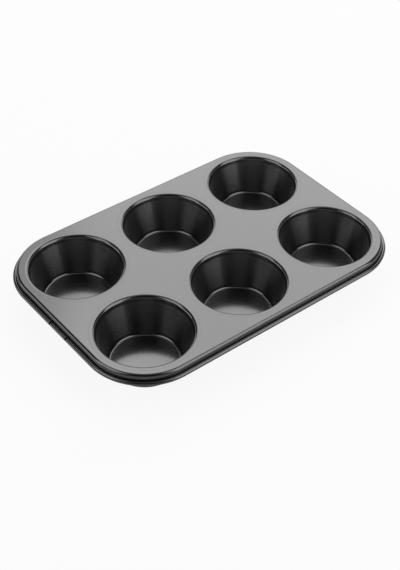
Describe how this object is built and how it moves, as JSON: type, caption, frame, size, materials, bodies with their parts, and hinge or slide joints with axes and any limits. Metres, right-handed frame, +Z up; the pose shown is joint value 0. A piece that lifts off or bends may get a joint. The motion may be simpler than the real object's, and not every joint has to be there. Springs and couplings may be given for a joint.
{
  "type": "muffin pan",
  "caption": "Non-stick steel muffin pan: flat tray with rounded corners, tapered flat-bottomed cups and a rim rolled round a wire.",
  "frame": {"origin": "under the middle of the tray, on the surface that the cup bases stand on", "axes": "+X along the long side of the tray, +Y towards the back row of cups, +Z up, out of the cup mouths"},
  "size_m": [0.2594, 0.1774, 0.0299],
  "materials": {
    "tray_coating": "satin dark grey non-stick coating on sheet steel",
    "cup_coating": "satin dark grey non-stick coating on sheet steel",
    "wire_steel": "plain drawn steel wire"
  },
  "bodies": {
    "root": {"tray_frame": "tray_coating", "rim_wire": "wire_steel", "cup_front_left": "cup_coating", "cup_front_middle": "cup_coating", "cup_front_right": "cup_coating", "cup_back_left": "cup_coating", "cup_back_middle": "cup_coating", "cup_back_right": "cup_coating"}
  },
  "joints": []
}
